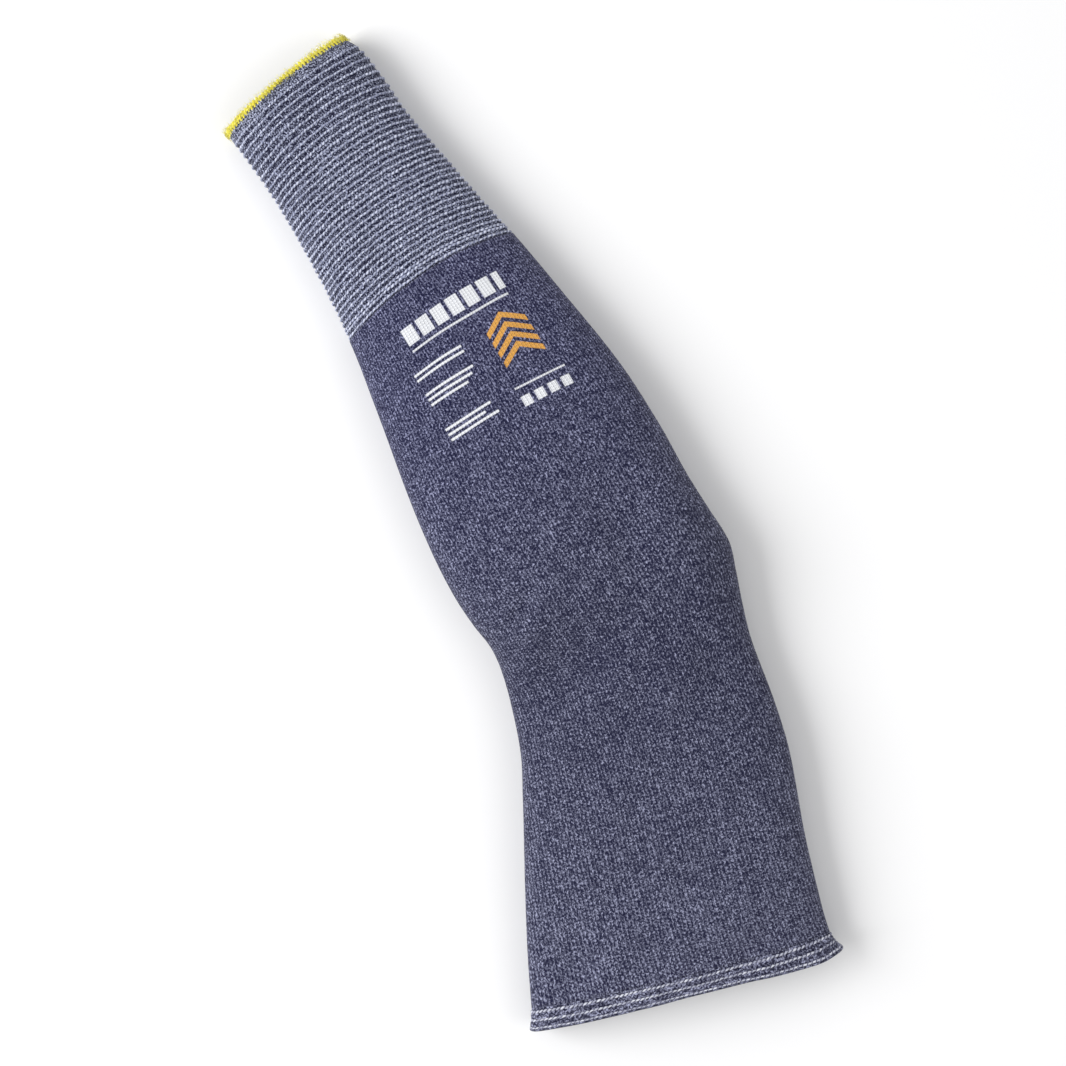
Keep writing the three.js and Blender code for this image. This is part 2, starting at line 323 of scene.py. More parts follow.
        bow[first:last] = 1 - np.clip(reach, 0, 1) ** self.bow_exponent
        return across, level, bow

    def _fill_table(self) -> None:
        """Works out points, normals and lengths around for all stations, evenly spaced around."""
        turn = np.radians(self.bend_degrees * self.column("heading", self.stations))
        shift = -self.row_bow * self.column("bow", self.stations)
        shares = np.arange(self.samples_around) / self.samples_around
        drifts = np.interp(self.stations, self.drift_places, self.drift_amounts)
        crown = slice(self.crown_start + 1, -self.crown_start - 1)
        rings, tops, offsets, girths = [], [], [], []
        for i, angle in enumerate(turn):
            across, level, bow = self._outline(i)
            x = self.middle_x[i] + across * math.cos(angle) + bow * shift[i] * math.sin(angle)
            y = self.middle_y[i] + across * math.sin(angle) - bow * shift[i] * math.cos(angle)
            run = np.r_[0, np.cumsum(np.hypot(np.diff(across), np.diff(level)))]
            top, drifted = np.interp([0, -drifts[i]], -across[crown], run[crown])
            offset = drifted / run[-1] - 0.5
            want = (shares + offset) % 1 * run[-1]
            rings.append(np.stack([np.interp(want, run, v) for v in (x, y, level)], axis=1))
            tops.append(top)
            offsets.append(offset)
            girths.append(run[-1])
        points = np.array(rings)
        box_low, box_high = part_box("sleeve_body")
        own = points[self.body_stations()].reshape(-1, 3)
        middle = (own.min(0) + own.max(0)) / 2
        points[:, :, 0] += (box_low.x + box_high.x) / 2 - middle[0]
        points[:, :, 1] += (box_low.y + box_high.y) / 2 - middle[1]
        along = np.gradient(points, axis=0)
        around = np.roll(points, -1, axis=1) - np.roll(points, 1, axis=1)
        normals = np.cross(around, along)
        normals /= np.linalg.norm(normals, axis=2, keepdims=True)
        self.points = points
        self.normals = normals
        self.tops = np.array(tops)
        self.offsets = np.array(offsets)
        self.girths = np.array(girths)

    def body_stations(self) -> np.ndarray:
        """Which stations lie on the body tube."""
        start = self.starts[Zone.FOREARM]
        end = self.starts[Zone.HEM] - self.seam_gap
        return (self.stations >= start - 1e-9) & (self.stations <= end + 1e-9)

    def _mix(self, table: np.ndarray, distance: np.ndarray, around: np.ndarray) -> np.ndarray:
        """Reads a table between its stations and around the ring."""
        row = np.clip(distance / (self.stations[1] - self.stations[0]), 0, len(self.stations) - 1.001)
        col = (around % 1) * self.samples_around
        i, j = row.astype(int), col.astype(int) % self.samples_around
        k = (j + 1) % self.samples_around
        s, t = row - i, col - np.floor(col)
        s, t = s[:, None], t[:, None]
        low = table[i, j] * (1 - t) + table[i, k] * t
        high = table[i + 1, j] * (1 - t) + table[i + 1, k] * t
        return low * (1 - s) + high * s

    def wander(self, distance: np.ndarray, around: np.ndarray) -> np.ndarray:
        """How far the rows stray along the sleeve, none at its ends."""
        calm = np.clip(distance / self.calm_length, 0, 1)
        calm = calm * np.clip((self.length - distance) / self.calm_length, 0, 1)
        turn = 2 * math.pi * around
        stray = np.sin(3 * turn + distance * 90) + 0.6 * np.sin(7 * turn - distance * 160 + 1)
        return self.stray * calm * stray

    def _ahead(self, distance: float, around: np.ndarray) -> np.ndarray:
        """The ways along the sleeve at one distance, a metre's worth each."""
        step = self.stations[1]
        near = np.full_like(around, distance, dtype=float)
        return (self._mix(self.points, near + step, around) - self._mix(self.points, near, around)) / step

    def hem_drop(self, distance: np.ndarray, around: np.ndarray) -> np.ndarray:
        """How far the hem sags past its even depth, most beside the outer elbow's corner."""
        share = np.clip((distance - self.starts[Zone.HEM]) / self.hem_depth, 0, 1)
        away = around - self.hem_sag_place
        width = np.where(away < 0, *self.hem_sag_widths)
        return self.hem_sag * share * np.exp(-((away / width) ** 2))

    def place(self, distance: np.ndarray, around: np.ndarray, outset: np.ndarray) -> np.ndarray:
        """Points on the sleeve's form.

        Args:
            distance: Distances from the wrist.
            around: Shares of the way around.
            outset: How far outside the form each point is, or inside when negative.

        Returns:
            One point a row, never below the floor.
        """
        strayed = distance + self.wander(distance, around)
        spots = self._mix(self.points, strayed, around)
        way_out = self._mix(self.normals, strayed, around)
        way_out /= np.linalg.norm(way_out, axis=1, keepdims=True)
        before = np.minimum(strayed, 0)[:, None] * self._ahead(0, around)
        past = self.hem_drop(strayed, around)[:, None] * self._ahead(self.length - self.lip_reach, around)
        spots = spots + outset[:, None] * way_out + before + past
        spots[:, 2] = np.maximum(spots[:, 2], 0)
        return spots

    def arc(self, distance: np.ndarray, around: np.ndarray) -> np.ndarray:
        """Lengths around from the crown's middle, positive towards the outer elbow."""
        top = np.interp(distance, self.stations, self.tops)
        offset = np.interp(distance, self.stations, self.offsets)
        return top - (around + offset) * np.interp(distance, self.stations, self.girths)

    def girth(self, distance: float) -> float:
        """The length around at one distance."""
        return float(np.interp(distance, self.stations, self.girths))


@dataclass
class Bench:
    """Makes meshes from flat grids that are rolled onto the sleeve's form."""

    form: SleeveForm

    def _finish(self, bm: bmesh.types.BMesh, name: str) -> bpy.types.Object:
        """Closes seams, turns faces outwards and makes the object.

        Args:
            bm: The rolled mesh, which is freed.
            name: The piece's name.

        Returns:
            The new object, smooth, at the origin.
        """
        bmesh.ops.remove_doubles(bm, verts=bm.verts, dist=1e-7)
        bmesh.ops.recalc_face_normals(bm, faces=bm.faces)
        for face in bm.faces:
            face.smooth = True
        mesh = bpy.data.meshes.new(name)
        bm.to_mesh(mesh)
        bm.free()
        piece = bpy.data.objects.new(name, mesh)
        bpy.context.scene.collection.objects.link(piece)
        return piece

    def _grid(self, bm: bmesh.types.BMesh, columns: int, rows: int) -> tuple[np.ndarray, np.ndarray]:
        """Adds a flat grid and tells its vertices' shares.

        Args:
            bm: The mesh to add to.
            columns: Faces around.
            rows: Faces lengthwise.

        Returns:
            The new vertices' shares around and lengthwise, from 0 to 1, as two arrays.
        """
        made = bmesh.ops.create_grid(bm, x_segments=columns, y_segments=rows, size=0.5)["verts"]
        flat = np.array([v.co for v in made]) + 0.5
        return np.rint(flat[:, 0] * columns) / columns, np.rint(flat[:, 1] * rows) / rows

    def _roll(
        self,
        bm: bmesh.types.BMesh,
        verts: Sequence[bmesh.types.BMVert],
        spots: np.ndarray,
        knit: np.ndarray,
        cloth: np.ndarray,
    ) -> None:
        """Moves grid vertices to their places and writes both UV maps before the seams close.

        Args:
            bm: The mesh that holds them.
            verts: The vertices to move.
            spots: Their new places.
            knit: Their wale and course numbers.
            cloth: Their lengths around and along, in metres.
        """
        knit_map = bm.loops.layers.uv.get(KNIT_MAP) or bm.loops.layers.uv.new(KNIT_MAP)
        cloth_map = bm.loops.layers.uv.get(CLOTH_MAP) or bm.loops.layers.uv.new(CLOTH_MAP)
        for vert, spot, wale, metre in zip(verts, spots.tolist(), knit.tolist(), cloth.tolist()):
            vert.co = spot
            for loop in vert.link_loops:
                loop[knit_map].uv = wale
                loop[cloth_map].uv = metre

    def wall(self, name: str, rows: Sequence[Row], columns: int, wales: int) -> bpy.types.Object:
        """Rolls a closed wall of cloth, out along its outside and back along its inside.

        Args:
            name: The piece's name.
            rows: Rings of the wall, the last one joined to the first.
            columns: Faces around.
            wales: Knitted wales around.

        Returns:
            The finished piece.
        """
        bm = bmesh.new()
        ring = [*rows, rows[0]]
        around, lengthwise = self._grid(bm, columns, len(rows))
        pick = np.rint(lengthwise * len(rows)).astype(int)
        distance = np.array([r.distance for r in ring])[pick]
        outset = np.array([r.outset for r in ring])[pick]
        course = np.array([*[r.course for r in rows], rows[-1].course + 1])[pick]
        spots = self.form.place(distance, around, outset)
        knit = np.stack([around * wales, course], axis=1)
        cloth = np.stack([self.form.arc(distance, around), distance], axis=1)
        self._roll(bm, list(bm.verts), spots, knit, cloth)
        return self._finish(bm, name)

    def strands(
        self,
        name: str,
        places: Sequence[float],
        path: Callable[[np.ndarray, np.ndarray, float], tuple[np.ndarray, np.ndarray, np.ndarray]],
        steps: int,
        sides: int,
        stitches: int,
    ) -> bpy.types.Object:
        """Lays closed strands of yarn around the sleeve.

        Args:
            name: The piece's name.
            places: One distance for each strand.
            path: Turns shares around the sleeve, angles around the strand and the strand's place
                into distances, shares around and outsets.
            steps: Faces along one strand.
            sides: Faces around one strand.
            stitches: Stitches along one strand.

        Returns:
            The finished piece.
        """
        bm = bmesh.new()
        spots, knits, cloths = [], [], []
        for number, place in enumerate(places):
            share, side = self._grid(bm, steps, sides)
            distance, around, outset = path(share, 2 * math.pi * side, place)
            spots.append(self.form.place(distance, around, outset))
            knits.append(np.stack([share * stitches, number + 0.96 * side], axis=1))
            cloths.append(np.stack([share * self.form.girth(place), distance], axis=1))
        self._roll(bm, list(bm.verts), np.concatenate(spots), np.concatenate(knits), np.concatenate(cloths))
        return self._finish(bm, name)


class NodeBench:
    """Short ways to lay and join a material's nodes."""

    def __init__(self, name: str) -> None:
        """Starts an empty node material with that name."""
        self.material = bpy.data.materials.new(name)
        self.material.use_nodes = True
        self.tree = self.material.node_tree
        self.tree.nodes.clear()

    def node(self, kind: str, inputs: Optional[dict] = None, **settings: object) -> bpy.types.Node:
        """Adds a node.

        Args:
            kind: The node's type name.
            inputs: Values or sockets for its inputs, by name or number.
            settings: The node's own properties.

        Returns:
            The new node.
        """
        made = self.tree.nodes.new(kind)
        for key, value in settings.items():
            setattr(made, key, value)
        for key, value in (inputs or {}).items():
            if isinstance(value, bpy.types.NodeSocket):
                self.tree.links.new(value, made.inputs[key])
            else:
                made.inputs[key].default_value = value
        return made

    def math(self, operation: str, *values: Wire, clamp: bool = False) -> Socket:
        """One Math node's result."""
        inputs = dict(enumerate(values))
        return self.node("ShaderNodeMath", inputs, operation=operation, use_clamp=clamp).outputs[0]

    def map(self, name: str) -> tuple[Socket, Socket]:
        """The two coordinates of one UV map."""
        split = self.node("ShaderNodeSeparateXYZ", {0: self.node("ShaderNodeUVMap", uv_map=name).outputs[0]})
        return split.outputs[0], split.outputs[1]

    def point(self, x: Wire, y: Wire, z: Wire = 0.0) -> Socket:
        """A vector from its coordinates."""
        return self.node("ShaderNodeCombineXYZ", {0: x, 1: y, 2: z}).outputs[0]

    def noise(self, vector: Socket, scale: float, detail: float = 2.0, roughness: float = 0.5) -> Socket:
        """Soft noise from 0 to 1."""
        inputs = {"Vector": vector, "Scale": scale, "Detail": detail, "Roughness": roughness}
        return self.node("ShaderNodeTexNoise", inputs, noise_dimensions="3D").outputs[0]

    def speckle(self, vector: Socket) -> Socket:
        """One random value for each place."""
        return self.node("ShaderNodeTexWhiteNoise", {"Vector": vector}, noise_dimensions="3D").outputs[0]

    def spread(self, value: Wire, low: float, high: float, to_low: float, to_high: float) -> Socket:
        """A value moved from one range to another, held inside it."""
        inputs = {0: value, 1: low, 2: high, 3: to_low, 4: to_high}
        return self.node("ShaderNodeMapRange", inputs, clamp=True).outputs[0]

    def mix(self, share: Wire, first: Union[Socket, Colour], second: Union[Socket, Colour]) -> Socket:
        """Two colours mixed."""
        made = self.node("ShaderNodeMix", data_type="RGBA", clamp_factor=True)
        for key, value in ((0, share), (6, first), (7, second)):
            if isinstance(value, bpy.types.NodeSocket):
                self.tree.links.new(value, made.inputs[key])
            else:
                made.inputs[key].default_value = (*value, 1) if isinstance(value, tuple) else value
        return made.outputs[2]

    def bump(self, height: Socket, depth: float, under: Optional[Socket] = None) -> Socket:
        """A normal raised by a height from 0 to 1 over that depth."""
        inputs = {"Height": height, "Distance": depth, "Strength": 1.0}
        if under is not None:
            inputs["Normal"] = under
        return self.node("ShaderNodeBump", inputs).outputs[0]

    def cloth(self, colour: Socket, normal: Socket, roughness: float, sheen: float) -> bpy.types.Material:
        """Ends the material as dull cloth.

        Args:
            colour: The base colour.
            normal: The shading normal.
            roughness: The shader's roughness.
            sheen: The strength of the fuzz at grazing angles.

        Returns:
            The finished material.
        """
        shader = self.node(
            "ShaderNodeBsdfPrincipled",
            {
                "Base Color": colour,
                "Normal": normal,
                "Roughness": roughness,
                "Sheen Weight": sheen,
                "Sheen Roughness": 0.5,
                "Specular IOR Level": 0.25,
            },
        )
        out = self.node("ShaderNodeOutputMaterial")
        self.tree.links.new(shader.outputs[0], out.inputs[0])
        return self.material


def tone(red: int, green: int, blue: int) -> Colour:
    """A linear colour from its eight-bit display values."""
    shares = [v / 255 for v in (red, green, blue)]
    return tuple(s / 12.92 if s <= 0.04045 else ((s + 0.055) / 1.055) ** 2.4 for s in shares)


@dataclass(frozen=True)
class Loops:
    """What a knit material needs to know of its loops."""

    height: Socket
    ridge: Socket
    course: Socket
    stitch: Socket
    leg: Socket
    streak: Socket


@dataclass(frozen=True)
class StitchRelief:
    """The V-shaped loops of plain knit."""

    slant: float = 0.42
    depth: float = 0.3 * MM
    streak_length: float = 9.0

    def loops(self, bench: NodeBench) -> Loops:
        """Lays the nodes that shape and tell apart the loops.

        Args:
            bench: The material that is being made.

        Returns:
            The loops' height from 0 to 1, the waves of wales and courses from -1 to 1, one random
            value for each loop, one for each half of its legs, and one for each stretch of a wale.
        """
        wale, course = bench.map(KNIT_MAP)
        across = bench.math("SUBTRACT", bench.math("FRACT", wale), 0.5)
        aside = bench.math("ABSOLUTE", across)
        leaning = bench.math("MULTIPLY_ADD", aside, 2 * self.slant, course)
        from_leg = bench.math("MULTIPLY", bench.math("SUBTRACT", aside, 0.22), 4.2)
        round_leg = bench.math("SUBTRACT", 1.0, bench.math("MULTIPLY", from_leg, from_leg), clamp=True)
        ridge = bench.math("COSINE", bench.math("MULTIPLY", across, 2 * math.pi))
        wave = bench.math("COSINE", bench.math("MULTIPLY", leaning, 2 * math.pi))
        dip = bench.math("MULTIPLY_ADD", wave, -0.38, 0.62)
        column = bench.math("FLOOR", wale)
        stitch = bench.speckle(bench.point(column, bench.math("FLOOR", leaning)))
        half_wale = bench.math("FLOOR", bench.math("MULTIPLY", wale, 2.0))
        half_course = bench.math("FLOOR", bench.math("MULTIPLY", leaning, 2.0))
        leg = bench.speckle(bench.point(half_wale, half_course, 5.0))
        stretch = bench.math("DIVIDE", course, self.streak_length)
        streak = bench.noise(bench.point(bench.math("MULTIPLY", column, 3.7), stretch, 2.0), 1.0, 1.0)
        height = bench.math("MULTIPLY", bench.math("MULTIPLY_ADD", round_leg, 0.7, 0.3), dip)
        return Loops(height, ridge, bench.math("MULTIPLY", wave, -1.0), stitch, leg, streak)


@dataclass(frozen=True)
class Patch:
    """A rectangle of the print, by its middle across and along and its half sizes."""

    across: float
    along: float
    half_width: float
    half_length: float


@dataclass(frozen=True)
class Print:
    """Plain printed marks on the forearm: a bar of blocks, ruled lines, chevrons and small squares.

    Places are metres from the crown's middle and from the wrist.
    """

    ink: Colour = tone(236, 238, 242)
    accent: Colour = tone(226, 166, 78)
    blur: float = 0.16 * MM
    block_pitch: float = 7 * MM
    line_pitch: float = 2.2 * MM
    chevron_pitch: float = 4.2 * MM
    square_pitch: float = 5.8 * MM
    block_share: float = 0.76
    line_share: float = 0.44
    chevron_share: float = 0.56
    square_share: float = 0.66
    bar: Patch = Patch(1.75 * MM, 116.4 * MM, 22.75 * MM, 3.5 * MM)
    bar_rule: Patch = Patch(1.75 * MM, 122.4 * MM, 22 * MM, 0.4 * MM)
    square_row: Patch = Patch(17.4 * MM, 161 * MM, 11.6 * MM, 2 * MM)
    square_rule: Patch = Patch(17.4 * MM, 155.4 * MM, 10.9 * MM, 0.35 * MM)
    line_blocks: tuple[tuple[int, int], ...] = ((59, 2), (63, 3), (70, 3))
    line_middle: float = -14 * MM
    line_half: float = 11 * MM
    line_end: float = -1.5 * MM
    line_shortening: float = 9 * MM
    chevron_middle: float = 16.5 * MM
    chevron_half: float = 8.6 * MM
    chevron_number: int = 32
    chevrons: int = 4
    chevron_slope: float = 0.6

    def _box(self, bench: NodeBench, x: Socket, y: Socket, patch: Patch) -> Socket:
        """The share of a soft-edged rectangle."""
        aside = bench.math("ABSOLUTE", bench.math("SUBTRACT", x, patch.across))
        above = bench.math("ABSOLUTE", bench.math("SUBTRACT", y, patch.along))
        room = bench.math("SUBTRACT", patch.half_width, aside)
        inside = bench.math("MINIMUM", room, bench.math("SUBTRACT", patch.half_length, above))
        return bench.spread(inside, -self.blur, self.blur, 0, 1)

    def _stripes(self, bench: NodeBench, value: Socket, pitch: float, share: float) -> Socket:
        """Soft-edged stripes that repeat along a value."""
        phase = bench.math("FRACT", bench.math("DIVIDE", value, pitch))
        from_middle = bench.math("ABSOLUTE", bench.math("SUBTRACT", phase, 0.5))
        edge = self.blur / pitch
        return bench.spread(from_middle, share / 2 - edge, share / 2 + edge, 1, 0)

    def _ruled(self, bench: NodeBench, x: Socket, y: Socket, first: int, lines: int) -> Socket:
        """A block of thin lines that begin at one side and end at different lengths."""
        half = lines * self.line_pitch / 2
        row = bench.math("FLOOR", bench.math("DIVIDE", y, self.line_pitch))
        own = bench.speckle(bench.point(row, 4.0))
        end = bench.math("MULTIPLY_ADD", own, -self.line_shortening, self.line_end)
        short = bench.spread(bench.math("SUBTRACT", x, end), -self.blur, self.blur, 0, 1)
        place = Patch(self.line_middle, first * self.line_pitch + half, self.line_half, half)
        block = self._box(bench, x, y, place)
        thin = self._stripes(bench, y, self.line_pitch, self.line_share)
        kept = bench.math("SUBTRACT", 1.0, short)
        return bench.math("MULTIPLY", bench.math("MULTIPLY", block, thin), kept)

    def marks(self, bench: NodeBench) -> tuple[Socket, Socket]:
        """The shares of white ink and of accent ink.

        Args:
            bench: The material that is being made.

        Returns:
            Two values from 0 to 1.
        """
        x, y = bench.map(CLOTH_MAP)
        blocks = self._stripes(bench, x, self.block_pitch, self.block_share)
        squares = self._stripes(bench, x, self.square_pitch, self.square_share)
        shapes = [
            bench.math("MULTIPLY", blocks, self._box(bench, x, y, self.bar)),
            bench.math("MULTIPLY", squares, self._box(bench, x, y, self.square_row)),
            self._box(bench, x, y, self.bar_rule),
            self._box(bench, x, y, self.square_rule),
        ]
        shapes += [self._ruled(bench, x, y, first, lines) for first, lines in self.line_blocks]
        white = shapes[0]
        for shape in shapes[1:]:
            white = bench.math("MAXIMUM", white, shape)
        aside = bench.math("ABSOLUTE", bench.math("SUBTRACT", x, self.chevron_middle))
        slope = bench.math("MULTIPLY_ADD", aside, -self.chevron_slope, y)
        chevrons = self._stripes(bench, slope, self.chevron_pitch, self.chevron_share)
        along = self.chevron_number * self.chevron_pitch
        place = Patch(self.chevron_middle, along, self.chevron_half, self.chevrons / 2 * self.chevron_pitch)
        patch = self._box(bench, x, slope, place)
        return white, bench.math("MULTIPLY", chevrons, patch)


@dataclass(frozen=True)
class HeatherKnit:
    """Fine heathered knit: each loop takes its own mix of a dark and a light yarn.

    The shares weigh a loop's own value, that of each half of its legs, its wale's streak, loose fibres,
    broad clouds and the waves of courses and wales, which are painted shade between the loops.
    The tone dips at the elbow as painted shade and rises towards the hem as painted light.
    """

    name: str
    dark: Colour
    light: Colour
    far_dark: Optional[Colour] = None
    far_light: Optional[Colour] = None
    turn_start: float = 130 * MM
    turn_end: float = 235 * MM
    relief: StitchRelief = StitchRelief()
    level: float = 0.41
    # Painted shade of the knit's relief: darker between wales and in the loops' dips.
    ridge_shade_share: float = 0.15
    course_shade_share: float = 0.05
    stitch_share: float = 0.2
    leg_share: float = 0.5
    streak_share: float = 0.14
    fibre_share: float = 0.6
    fibre_scale: float = 1750.0
    cloud_share: float = 0.05
    fibre_stretch: float = 0.7
    fibre_range: tuple[float, float] = (0.4, 0.62)
    cloud_scale: float = 34.0
    # Painted shade: the tone dips over the elbow. Painted light: it rises towards the hem.
    elbow_painted_shade: float = 0.045
    elbow_shade_entry: tuple[float, float] = (220 * MM, 260 * MM)
    elbow_shade_exit: tuple[float, float] = (270 * MM, 310 * MM)
    hem_painted_light: float = 0.05
    hem_light_entry: tuple[float, float] = (300 * MM, 370 * MM)
    contrast: float = 2.2
    pale_until: float = 0.0
    pale_rise: float = 0.0
    pale_blend: float = 0.6 * MM
    ink_cover: tuple[float, float] = (0.7, 0.97)
    fuzz_depth: float = 0.12 * MM
    printed: Optional[Print] = None
    roughness: float = 0.92
    sheen: float = 0.08

    def _level(self, bench: NodeBench, y: Socket) -> Socket:
        """The tone along the sleeve, before loops and fibres vary it, with painted elbow shade and hem light."""
        start, end = self.pale_until - self.pale_blend, self.pale_until + self.pale_blend
        level = bench.math("ADD", bench.spread(y, start, end, self.pale_rise, 0), self.level)
        # Painted shade over the elbow, and painted light rising towards the hem.
        entry = bench.spread(y, *self.elbow_shade_entry, 0, 1)
        dip = bench.math("MULTIPLY", entry, bench.spread(y, *self.elbow_shade_exit, 1, 0))
        level = bench.math("MULTIPLY_ADD", dip, -self.elbow_painted_shade, level)
        return bench.math("ADD", level, bench.spread(y, *self.hem_light_entry, 0, self.hem_painted_light))

    def _toned(self, bench: NodeBench, loops: Loops, x: Socket, y: Socket) -> Socket:
        """The share of light yarn at each spot."""
        stretched = bench.point(x, bench.math("MULTIPLY", y, self.fibre_stretch))
        strands = bench.noise(stretched, self.fibre_scale, 2, 0.6)
        clouds = bench.noise(bench.point(x, y), self.cloud_scale, 3, 0.55)
        parts = (
            (bench.math("SUBTRACT", loops.stitch, 0.5), self.stitch_share),
            (bench.math("SUBTRACT", loops.leg, 0.5), self.leg_share),
            (bench.math("SUBTRACT", loops.streak, 0.5), self.streak_share),
            (bench.spread(strands, *self.fibre_range, -0.5, 0.5), self.fibre_share),
            (bench.math("SUBTRACT", clouds, 0.5), self.cloud_share),
            # Painted shade: darker in the loops' dips and between wales, lighter along each wale's middle.
            (loops.course, self.course_shade_share),
            (loops.ridge, self.ridge_shade_share),
        )
        toned = self._level(bench, y)
        for value, share in parts:
            toned = bench.math("MULTIPLY_ADD", value, share, toned)
        return bench.math("POWER", bench.math("MAXIMUM", toned, 0.0), self.contrast, clamp=True)

    def _inked(self, bench: NodeBench, loops: Loops, colour: Socket, inks: Print) -> Socket:
        """The knit's colour under its printed marks, thinner between the wales."""
        white, accent = inks.marks(bench)
        cover = bench.spread(loops.ridge, -1, 0.2, *self.ink_cover)
        colour = bench.mix(bench.math("MULTIPLY", white, cover), colour, inks.ink)
        return bench.mix(bench.math("MULTIPLY", accent, cover), colour, inks.accent)

    def material(self) -> bpy.types.Material:
        """Builds the material."""
        bench = NodeBench(self.name)
        loops = self.relief.loops(bench)
        x, y = bench.map(CLOTH_MAP)
        far = bench.spread(y, self.turn_start, self.turn_end, 0, 1)
        dark = bench.mix(far, self.dark, self.far_dark or self.dark)
        light = bench.mix(far, self.light, self.far_light or self.light)
        colour = bench.mix(self._toned(bench, loops, x, y), dark, light)
        if self.printed is not None:
            colour = self._inked(bench, loops, colour, self.printed)
        fuzz = bench.noise(bench.point(x, y), FUZZ_SCALE, 1.5, 0.6)
        normal = bench.bump(fuzz, self.fuzz_depth, bench.bump(loops.height, self.relief.depth))
        return bench.cloth(colour, normal, self.roughness, self.sheen)


@dataclass(frozen=True)
class Yarn:
    """Yarn laid in slanted dashes along a strand, with dark gaps between them, partly painted shade."""

    name: str
    dark: Colour
    light: Colour
    gap_and_shade: Colour
    turns: float = 0.2
    gap_share: float = 0.36
    softness: float = 0.1
    fuzz_depth: float = 0.1 * MM
    twist_depth: float = 0.2 * MM
    roughness: float = 0.85
    sheen: float = 0.15

    def material(self) -> bpy.types.Material:
        """Builds the material."""
        bench = NodeBench(self.name)
        stitch, side = bench.map(KNIT_MAP)
        x, y = bench.map(CLOTH_MAP)
        slanted = bench.math("MULTIPLY_ADD", side, self.turns, stitch)
        own = bench.speckle(bench.point(bench.math("FLOOR", slanted), bench.math("FLOOR", side), 1.0))
        from_middle = bench.math("ABSOLUTE", bench.math("SUBTRACT", bench.math("FRACT", slanted), 0.5))
        edge = 0.5 - self.gap_share / 2
        dash = bench.spread(from_middle, edge - self.softness, edge + self.softness, 1, 0)
        fibre = bench.noise(bench.point(bench.math("MULTIPLY", slanted, 6.0), side), 1.4, 3, 0.7)
        toned = bench.math("MULTIPLY_ADD", own, 0.7, bench.math("MULTIPLY_ADD", fibre, 1.2, -0.45))
        colour = bench.mix(toned, self.dark, self.light)
        # The gap colour is partly painted shade in the grooves between the dashes.
        colour = bench.mix(dash, self.gap_and_shade, colour)
        twist = bench.math("MULTIPLY_ADD", dash, 0.7, bench.math("MULTIPLY", fibre, 0.3))
        fuzz = bench.noise(bench.point(x, y), FUZZ_SCALE, 1.5, 0.6)
        normal = bench.bump(fuzz, self.fuzz_depth, bench.bump(twist, self.twist_depth))
        return bench.cloth(colour, normal, self.roughness, self.sheen)


def spaced(start: float, end: float, step: float) -> np.ndarray:
    """Evenly spaced places from start to end, about a step apart."""
    return np.linspace(start, end, max(2, round(abs(end - start) / step) + 1))


def dress(piece: bpy.types.Object, finish: bpy.types.Material, slot: str) -> bpy.types.Object:
    """Gives a piece its material and body.

    Args:
        piece: The finished piece.
        finish: Its material.
        slot: The record's material slot.

    Returns:
        The same piece.
    """
    piece.data.materials.append(finish)
    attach(piece, ROOT)
    log.info("%s: %d faces, slot %s", piece.name, len(piece.data.polygons), slot)
    return piece


@dataclass
class BodyTube:
    """The seamless tube from the cuff to the hem."""

    bench: Bench
    wall: float = 1.4 * MM
    outer_step: float = 1.25 * MM
    inner_step: float = 5 * MM
    columns: int = 180
    wales: int = 156
    course_pitch: float = 1.1 * MM
    overlap: float = 0.15 * MM

    def rows(self) -> list[Row]:
        """Rings out along the outside and back along the inside."""
        form = self.bench.form
        start = form.starts[Zone.FOREARM] - self.overlap
        end = form.starts[Zone.HEM] - form.seam_gap + self.overlap
        made = [Row(d, 0.0, d / self.course_pitch) for d in spaced(start, end, self.outer_step)]
        back = spaced(end, start, self.inner_step)
        turn = end / self.course_pitch
        made += [Row(d, -self.wall, turn + (end - d) / self.course_pitch) for d in back]
        return made

    def build(self, finish: bpy.types.Material) -> bpy.types.Object:
        form = self.bench.form
        piece = self.bench.wall("knit_body", self.rows(), self.columns, self.wales)
        dress(piece, finish, "body_knit")
        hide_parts("sleeve_body")
        on_body = form.girths[form.body_stations()]
        return piece


